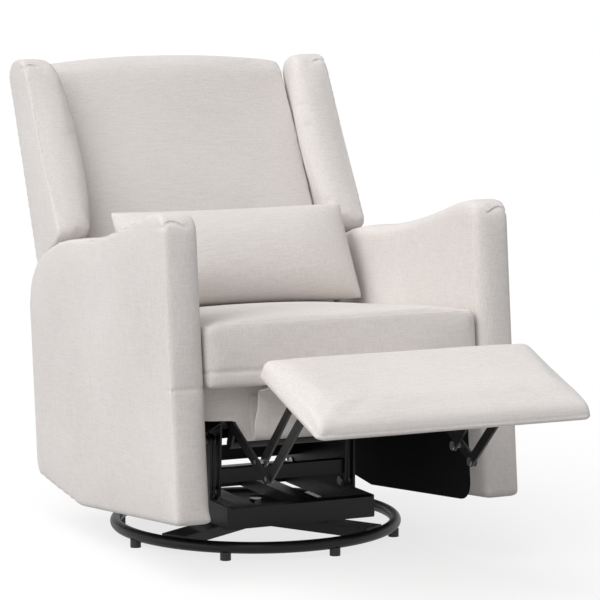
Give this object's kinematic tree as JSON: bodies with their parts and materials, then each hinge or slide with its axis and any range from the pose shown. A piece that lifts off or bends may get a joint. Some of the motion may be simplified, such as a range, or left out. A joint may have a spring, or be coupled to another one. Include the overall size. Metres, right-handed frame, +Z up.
{
  "type": "glider_recliner_chair",
  "caption": "Wing-backed upholstered swivel glider recliner with legrest out, square padded arms, loose lumbar pillow and a round steel swivel base.",
  "frame": {"origin": "on the floor, on the swivel axis", "axes": "+X to the sitter's left, +Y to the back of the chair (the front faces -Y), +Z up"},
  "size_m": [0.775, 1.4991, 1.014],
  "materials": {
    "linen": "plain weave, off-white",
    "lining": "black non-woven lining",
    "black_steel": "satin black powder coat",
    "zinc": "zinc plated",
    "timber": "bare sawn",
    "black_plastic": "fine texture"
  },
  "bodies": {
    "base": {"base_ring": "black_steel", "base_cross_bars": "black_steel", "base_feet": "black_plastic", "swivel_lower_plate": "black_steel", "swivel_balls": "zinc", "swivel_ball_cage": "black_plastic", "swivel_king_bolt": "zinc"},
    "turntable": {"swivel_upper_plate": "black_steel", "turntable_bars": "black_steel", "glider_rail_front": "black_steel", "glider_rail_rear": "black_steel", "glider_stand_left": "black_steel", "glider_stand_right": "black_steel", "glide_upper_pins": "zinc"},
    "glide_links_front": {"glide_link_front_left": "black_steel", "glide_link_front_right": "black_steel"},
    "glide_links_rear": {"glide_link_rear_left": "black_steel", "glide_link_rear_right": "black_steel"},
    "back": {"back_frame": "timber", "back_webbing": "lining", "back_outer_panel": "linen", "back_cushion": "linen", "wing_left": "linen", "wing_right": "linen", "back_hinge_brackets": "black_steel"},
    "legrest_main": {"legrest_main_links": "black_steel", "legrest_torque_tube": "black_steel", "legrest_knee_pins": "zinc"},
    "legrest_long": {"legrest_long_links": "black_steel"},
    "legrest_short": {"legrest_short_links": "black_steel"},
    "footrest": {"footrest_brackets": "black_steel", "footrest_pivot_pins": "zinc", "footrest_board": "timber", "footrest_cushion": "linen"},
    "pillow": {"lumbar_pillow": "linen"},
    "seat": {"rocker_left": "black_steel", "rocker_right": "black_steel", "rocker_rail_front": "black_steel", "rocker_rail_rear": "black_steel", "glide_lower_pins": "zinc", "cross_tube_front": "black_steel", "cross_tube_rear": "black_steel", "mechanism_plate_left": "black_steel", "mechanism_plate_right": "black_steel", "mechanism_bolts": "zinc", "mechanism_pivot_pins": "zinc", "seat_rail_left": "timber", "seat_rail_right": "timber", "seat_rail_front": "timber", "seat_rail_rear": "timber", "seat_springs": "zinc", "seat_deck": "lining", "seat_cushion": "linen", "arm_core_left": "timber", "arm_core_right": "timber", "arm_cover_left": "linen", "arm_cover_right": "linen", "arm_lining_left": "lining", "arm_lining_right": "lining", "legrest_flap": "linen"}
  },
  "joints": [
    {"name": "swivel", "type": "hinge", "parent": "base", "child": "turntable", "pos_m": [0, 0, 0.056], "axis": [0, 0, 1], "continuous": true},
    {"name": "glide", "type": "hinge", "parent": "turntable", "child": "glide_links_front", "pos_m": [0, -0.125, 0.232], "axis": [1, 0, 0], "range_deg": [-20, 20]},
    {"name": "glide_rear", "type": "hinge", "parent": "turntable", "child": "glide_links_rear", "pos_m": [0, 0.125, 0.232], "axis": [1, 0, 0], "range_deg": [-20, 20]},
    {"name": "seat_hang", "type": "hinge", "parent": "glide_links_front", "child": "seat", "pos_m": [0, -0.125, 0.122], "axis": [1, 0, 0], "range_deg": [-20, 20]},
    {"name": "recline", "type": "hinge", "parent": "seat", "child": "back", "pos_m": [0, 0.24041, 0.29843], "axis": [-1, 0, 0], "range_deg": [0, 22]},
    {"name": "legrest", "type": "hinge", "parent": "seat", "child": "legrest_main", "pos_m": [0, -0.34236, 0.34034], "axis": [1, 0, 0], "range_deg": [0, 100.2], "deforming": ["legrest_flap"]},
    {"name": "legrest_knee", "type": "hinge", "parent": "legrest_main", "child": "legrest_long", "pos_m": [0, -0.5696, 0.23074], "axis": [1, 0, 0], "range_deg": [-93.5, 0]},
    {"name": "legrest_short", "type": "hinge", "parent": "legrest_main", "child": "legrest_short", "pos_m": [0, -0.51736, 0.25594], "axis": [1, 0, 0], "range_deg": [-102.1, 0]},
    {"name": "footrest_tilt", "type": "hinge", "parent": "legrest_long", "child": "footrest", "pos_m": [0, -0.75545, 0.40368], "axis": [1, 0, 0], "range_deg": [0, 59.7]},
    {"name": "pillow_lift", "type": "slide", "parent": "seat", "child": "pillow", "axis": [0, 0, 1], "range_m": [0, 0.25]}
  ],
  "couplings": [
    {"joint": "glide_rear", "follows": "glide", "ratio": 1},
    {"joint": "seat_hang", "follows": "glide", "ratio": -1},
    {"joint": "legrest_knee", "follows": "legrest", "ratio": -0.93162},
    {"joint": "legrest_short", "follows": "legrest", "ratio": -1.0172},
    {"joint": "footrest_tilt", "follows": "legrest", "ratio": 0.59481}
  ]
}
